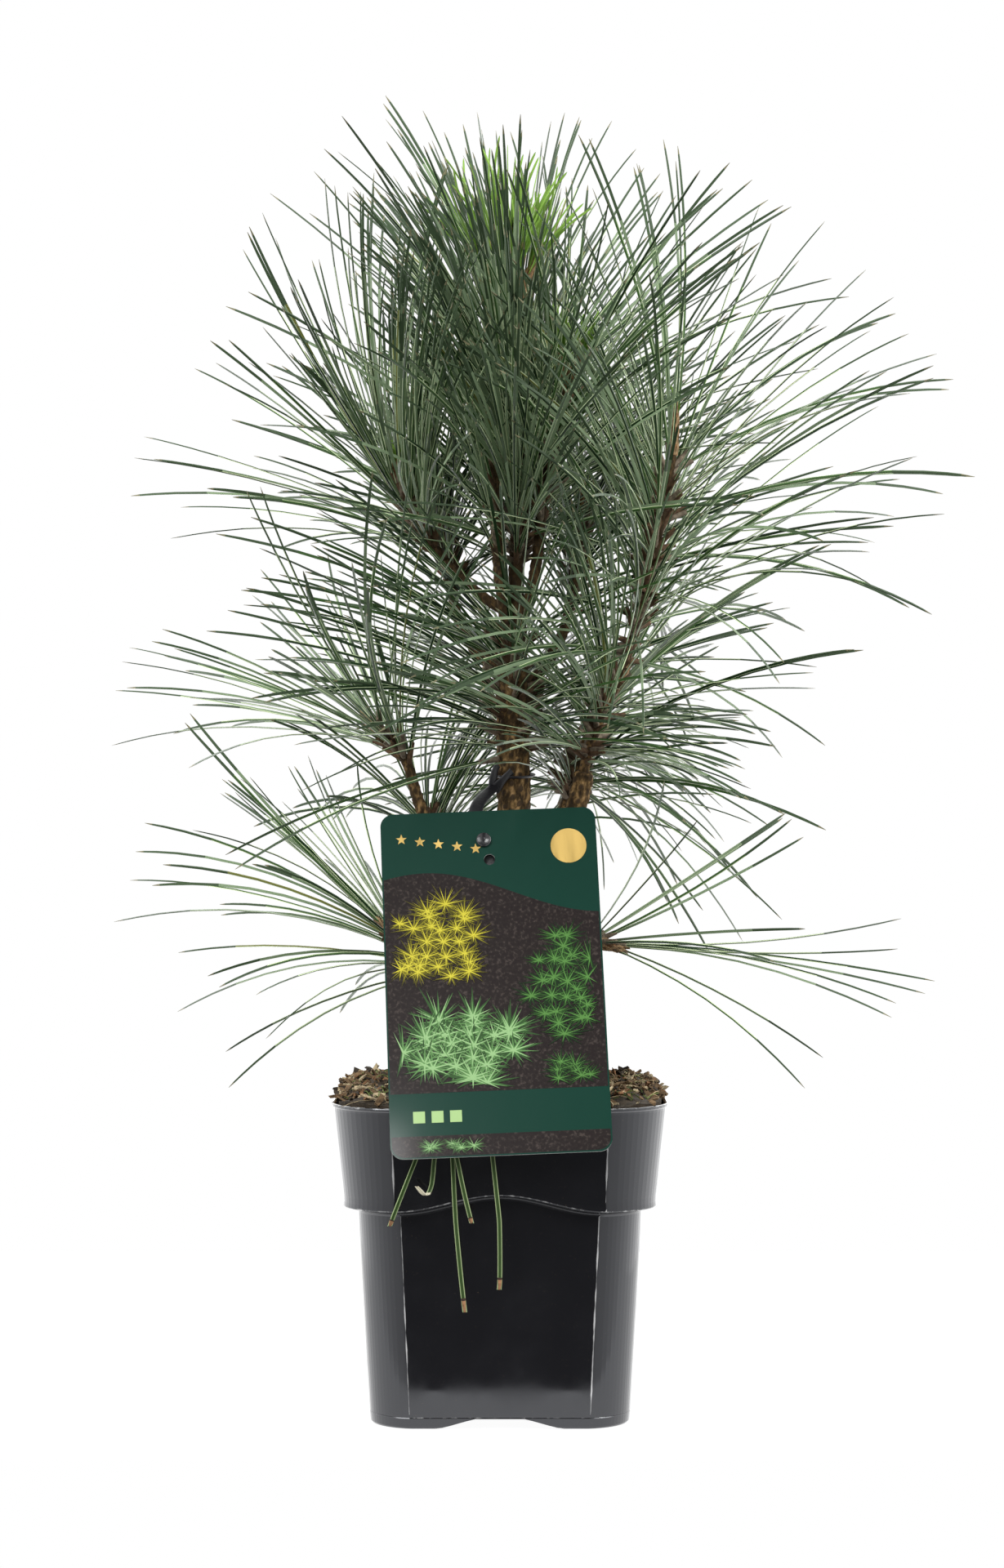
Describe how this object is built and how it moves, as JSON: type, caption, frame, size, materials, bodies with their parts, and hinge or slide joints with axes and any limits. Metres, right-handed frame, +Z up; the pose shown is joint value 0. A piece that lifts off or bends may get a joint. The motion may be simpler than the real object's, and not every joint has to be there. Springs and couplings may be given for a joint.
{
  "type": "potted austrian pine",
  "caption": "Young multi-stemmed Austrian pine with long dark green needles and bright new candles, in a square black plastic nursery pot of soil, with a blank-style picture card tied on.",
  "frame": {"origin": "middle of the pot's flat underside, on the surface the pot stands on", "axes": "+Z up along the trunk, -Y towards the front with the picture card, +X to the right seen from the front"},
  "size_m": [0.3674, 0.3019, 0.5293],
  "materials": {
    "pot_plastic": "gloss",
    "soil": "matte",
    "bark": "matte",
    "card_plastic": "satin",
    "tie_plastic": "satin",
    "fallen_needles": "matte",
    "needles": "matte"
  },
  "bodies": {
    "root": {"pot": "pot_plastic", "soil": "soil", "trunk": "bark", "cut_leader": "bark", "middle_bough": "bark", "upper_left_bough": "bark", "right_bough": "bark", "left_bough": "bark", "low_right_bough": "bark", "low_left_bough": "bark", "back_left_bough": "bark", "back_right_bough": "bark", "back_low_left_bough": "bark", "back_low_right_bough": "bark", "picture_card": "card_plastic", "label_tie": "tie_plastic", "caught_needles_1": "fallen_needles", "caught_needles_2": "fallen_needles", "caught_needles_3": "fallen_needles", "caught_needles_4": "fallen_needles", "caught_needles_5": "fallen_needles", "leader_needles": "needles", "cut_leader_needles": "needles", "trunk_needles": "needles", "middle_needles": "needles", "upper_left_needles": "needles", "right_low_needles": "needles", "right_needles": "needles", "left_needles": "needles", "low_right_needles": "needles", "low_left_needles": "needles", "back_left_needles": "needles", "back_right_needles": "needles", "back_low_left_needles": "needles", "back_low_right_needles": "needles"}
  },
  "joints": []
}
